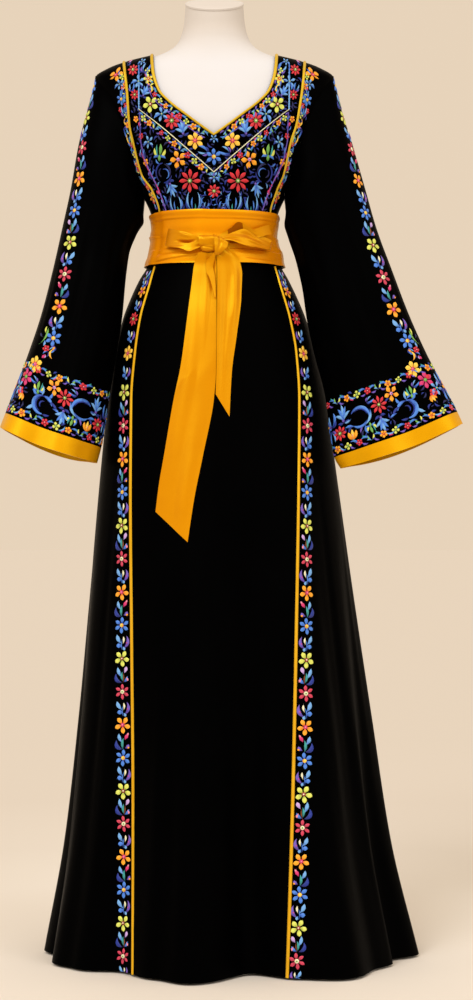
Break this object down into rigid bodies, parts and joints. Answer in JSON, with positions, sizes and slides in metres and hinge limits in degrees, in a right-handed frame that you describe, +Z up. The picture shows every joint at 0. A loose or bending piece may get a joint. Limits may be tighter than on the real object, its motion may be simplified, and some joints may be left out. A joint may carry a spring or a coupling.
{
  "type": "embroidered jalabiya on a dress form",
  "caption": "Full-length black jalabiya with wide sleeves, V neck, yellow satin trim and a bow-tied sash, on a limbless dress form with a round stand.",
  "frame": {"origin": "centre of the flat underside of the stand's round base, on the floor", "axes": "+Z up, -Y towards the front of the garment, +X towards the right as seen from the front"},
  "size_m": [0.72, 0.4626, 1.5205],
  "materials": {
    "black_cloth": "matte",
    "yellow_satin": "satin",
    "form_cover": "matte",
    "stand_metal": "satin"
  },
  "bodies": {
    "root": {"stand_base": "stand_metal", "stand_pole": "stand_metal", "form_body": "form_cover", "form_neck_cap": "form_cover", "bodice_front_centre": "black_cloth", "bodice_side_front_left": "black_cloth", "bodice_side_front_right": "black_cloth", "bodice_back_left": "black_cloth", "bodice_back_right": "black_cloth", "skirt_front_centre": "black_cloth", "skirt_side_front_left": "black_cloth", "skirt_side_front_right": "black_cloth", "skirt_back_left": "black_cloth", "skirt_back_right": "black_cloth", "sleeve_left": "black_cloth", "sleeve_right": "black_cloth", "sleeve_cuff_left": "yellow_satin", "sleeve_cuff_right": "yellow_satin", "neck_binding": "yellow_satin", "bodice_piping_left": "yellow_satin", "bodice_piping_right": "yellow_satin", "skirt_piping_left": "yellow_satin", "skirt_piping_right": "yellow_satin", "sash_band": "yellow_satin", "sash_knot": "yellow_satin", "sash_loop_left": "yellow_satin", "sash_loop_right": "yellow_satin", "sash_strap_tip": "yellow_satin", "sash_tail_left": "yellow_satin", "sash_tail_right": "yellow_satin"}
  },
  "joints": []
}
